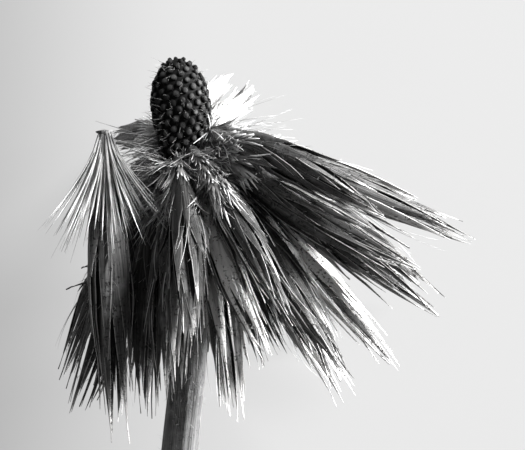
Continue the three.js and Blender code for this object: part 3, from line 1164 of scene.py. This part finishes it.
def growBurst(bm, draw):
    reachAt = viewerSideOfFlorets()
    low, high = burst["y"]
    for k in range(burst["scales"] + burst["curls"]):
        isScale = k < burst["scales"]
        x, y = drawEach(draw, burst, "x", "y")
        risen = mix((y - low) / (high - low), draw.random(), burst["disorder"])
        heading = mix(*burst["heading"], risen)
        root = Vector((x, y, reachAt(x, y)))
        length = draw.uniform(*burst["length" if isScale else "curlLength"])
        width = draw.uniform(*burst["width"]) if isScale else burst["curlWidth"]
        lift, bend = drawEach(draw, burst, "lift", "bend")

        def place(p):
            turned = heading + bend * p.z
            ahead, aside = Vector((cos(turned), sin(turned), 0)), Vector((sin(turned), -cos(turned), 0))
            at = root + ahead * length * p.z + aside * p.x * width * (0.45 + 0.55 * p.z)
            at.z = max(root.z, reachAt(at.x, at.y)) + burst["clear"] + lift * p.z + p.y * width
            return headToWorld @ at

        if isScale:
            template = draw.choice(scaleTemplates)
            graft(bm, template, place, draw.uniform(*burst["tone"]))
        else:
            graft(bm, bristleTemplate, place, burst["curlTone"])


wisps = [  # long fine hairs beside and behind the cone, first those on its right
    dict(count=44, bearing=(1.0, 2.9), height=(2.6, 4.6), length=(3.0, 7.5), rise=(-0.1, 0.45), thick=0.05),
    dict(count=90, bearing=(-2.4, -1.0), height=(-0.8, 3.6), length=(2.2, 5.0), rise=(-0.6, 0.3), thick=0.15),
]
wispDrift = {"reach": 0.8, "y": (-1.5, 0.5), "tone": (0.0, 0.5)}


def growWisps(bm, draw):
    for side in wisps:
        for _ in range(side["count"]):
            bearing, height, rise, length = drawEach(draw, side, "bearing", "height", "rise", "length")
            root = rootOnCone(height, bearing)
            outward = onCone(0, bearing, 1) + Vector((0, rise, 0))
            drift = scatter(draw, y=wispDrift["y"]) * wispDrift["reach"]

            def place(p):
                stray = outward * length * p.z + drift * p.z**2
                return headToWorld @ (root + stray + Vector((0, p.x, p.y)) * side["thick"])

            graft(bm, hairTemplate, place, draw.uniform(*wispDrift["tone"]))


def makeCone():
    draw = random.Random(cone["seed"])
    bm = newPiece()
    growTube(bm, cone["sides"], cone["rings"])
    for vert in bm.verts:
        height = mix(coneBottom, coneTop, sin(vert.co.z * pi / 2))
        radius = (along(cone["outline"], height) - cone["skin"]) * vert.co.xy.length
        bearing = Vector((vert.co.y, vert.co.x)).angle_signed(Vector((1, 0))) if radius else 0
        vert.co = headToWorld @ onCone(height, bearing, radius)
    growKnobs(bm, draw)
    growTufts(bm, draw)
    growBurst(bm, draw)
    growWisps(bm, draw)
    growConeHairs(bm, draw)
    piece = makePiece(bm, "receptacle", "receptacle", "bristle")
    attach(piece, "root")
    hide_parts("receptacle")
    return len(piece.data.polygons)


stem = {
    "line": [
        (-2.7, -44, 0), (-0.5, -21.8, 0), (0.2, -14.9, 0), (0.6, -9.5, 0), (0.35, -5.2, 0), (0, -2.6, 0),
    ],
    "radius": 1.45,
    "ribs": 11,
    "ribDepth": 0.07,
    "ribWander": 0.5,
    "lumps": 0.05,
    "lumpScale": (2, 12),  # round the stem and along it
    "sides": 66,
    "rings": 70,
    "seed": 3,
}
wool = {
    "count": 900,
    "length": (0.25, 0.7),
    "sunk": 0.08,
    "stand": (0.3, 1),
    "aside": (-0.5, 0.5),
    "lift": 0.1,
    "thick": 0.035,
    "tone": (0.2, 0.9),
}


def onStem(share):  # a smooth curve through the line's points
    points = [Vector(p) for p in stem["line"]]
    last = len(points) - 1
    at = clamp(share, 0, 1) * last
    k = min(int(at), last - 1)
    t = at - k
    p0, p1, p2, p3 = (points[clamp(i, 0, last)] for i in range(k - 1, k + 3))
    curve = p1 * 2 + (p2 - p0) * t
    curve += (p0 * 2 - p1 * 5 + p2 * 4 - p3) * t**2
    curve += (p1 * 3 - p0 - p2 * 3 + p3) * t**3
    return curve / 2


def onStemSkin(share, bearing, radius):
    step = 0.01
    ahead = (onStem(share + step) - onStem(share - step)).normalized()
    sidewise = ahead.cross(Vector((0, 0, 1))).normalized()
    facing = sidewise.cross(ahead)
    return onStem(share) + (sidewise * cos(bearing) + facing * sin(bearing)) * radius


def growWool(bm, draw):
    for _ in range(wool["count"]):
        share, bearing = draw.random(), anyAngle(draw)
        root = onStemSkin(share, bearing, stem["radius"] - wool["sunk"])
        away = (root - onStem(share)).normalized()
        reach = away * draw.uniform(*wool["stand"]) + scatter(draw, x=wool["aside"], z=wool["aside"])
        length = draw.uniform(*wool["length"])

        def place(p):
            stray = reach * length * p.z + away * wool["lift"] * p.z**2
            return headToWorld @ (root + stray + Vector((p.x, 0, p.y)) * wool["thick"])

        graft(bm, hairTemplate, place, draw.uniform(*wool["tone"]))


def makeStem():
    bm = newPiece()
    growTube(bm, stem["sides"], stem["rings"])
    layer = bm.loops.layers.uv["strip"]
    for face in bm.faces:
        for loop in face.loops:
            turned = loop.vert.co.xy.angle_signed(Vector((1, 0)), 0) / (2 * pi)
            loop[layer].uv = (0.5 + turned, loop.vert.co.z)
    roundScale, alongScale = stem["lumpScale"]
    for vert in bm.verts:
        bearing = Vector((1, 0)).angle_signed(vert.co.xy, 0)
        spot = Vector((cos(bearing) * roundScale, sin(bearing) * roundScale, vert.co.z * alongScale))
        lump = noise.noise(spot)
        rib = abs(sin(bearing * stem["ribs"] / 2 + lump * stem["ribWander"]))
        radius = stem["radius"] - stem["ribDepth"] * (1 - rib) + lump * stem["lumps"]
        vert.co = headToWorld @ onStemSkin(vert.co.z, bearing, radius)
    growWool(bm, random.Random(stem["seed"]))
    restOnTable(bm, 0)
    piece = makePiece(bm, "stem", "stem", "bristle")
    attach(piece, "root")
    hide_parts("stem")
    return len(piece.data.polygons)


makeCamera()
makeStudio()
makeTable()
materials = {
    "bract": makeDryMaterial("bract", bractLook, paintBract),
    "bristle": makeDryMaterial("bristle", bristleLook, paintBristle),
    "receptacle": makeDryMaterial("receptacle", coneLook, paintCone),
    "stem": makeDryMaterial("stem", stemLook, paintStem),
}
print("camera, light, table and materials made")
print("stem made", makeStem(), "faces")
print("receptacle made", makeCone(), "faces")

bleachAndPaintedLight = {  # how pale a side's florets are: partly bleaching, partly painted light, paler on the lit right and darker on the left as painted shade
    "left": 0.22,
    "front": 0.4,
    "inner": 0.4,
    "right": 0.56,
    "rear": 0.45,
    "back": 0.5,
    "loose": 0.45,
}
# florets paler or darker than their side's: partly bleaching, partly painted light and shade; those at 1.0
# are white as painted light, lit from behind
otherwiseBleachedAndLit = {
    "front": {"b": 0.28, "c": 0.28, "d": 0.82, "e": 1.0, "f": 0.5, "g": 0.5},
    "right": {"d": 0.48, "e": 1.0, "f": 0.6, "g": 0.6},
    "rear": {"b": 1.0},
    "back": {"d": 0.6, "e": 0.7, "g": 1.0, "h": 1.0},
}
firstSeed = 100


def bleachAndPaintedLightOf(name):
    side = name.split("_")[1]
    return otherwiseBleachedAndLit.get(side, {}).get(name[-1], bleachAndPaintedLight[side])


floretNames = sorted(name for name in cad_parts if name.startswith("floret_"))
faces = sum(makeFloret(name, seed, bleachAndPaintedLightOf(name)) for seed, name in enumerate(floretNames, firstSeed))
print("florets made", len(floretNames), "with", faces, "faces")
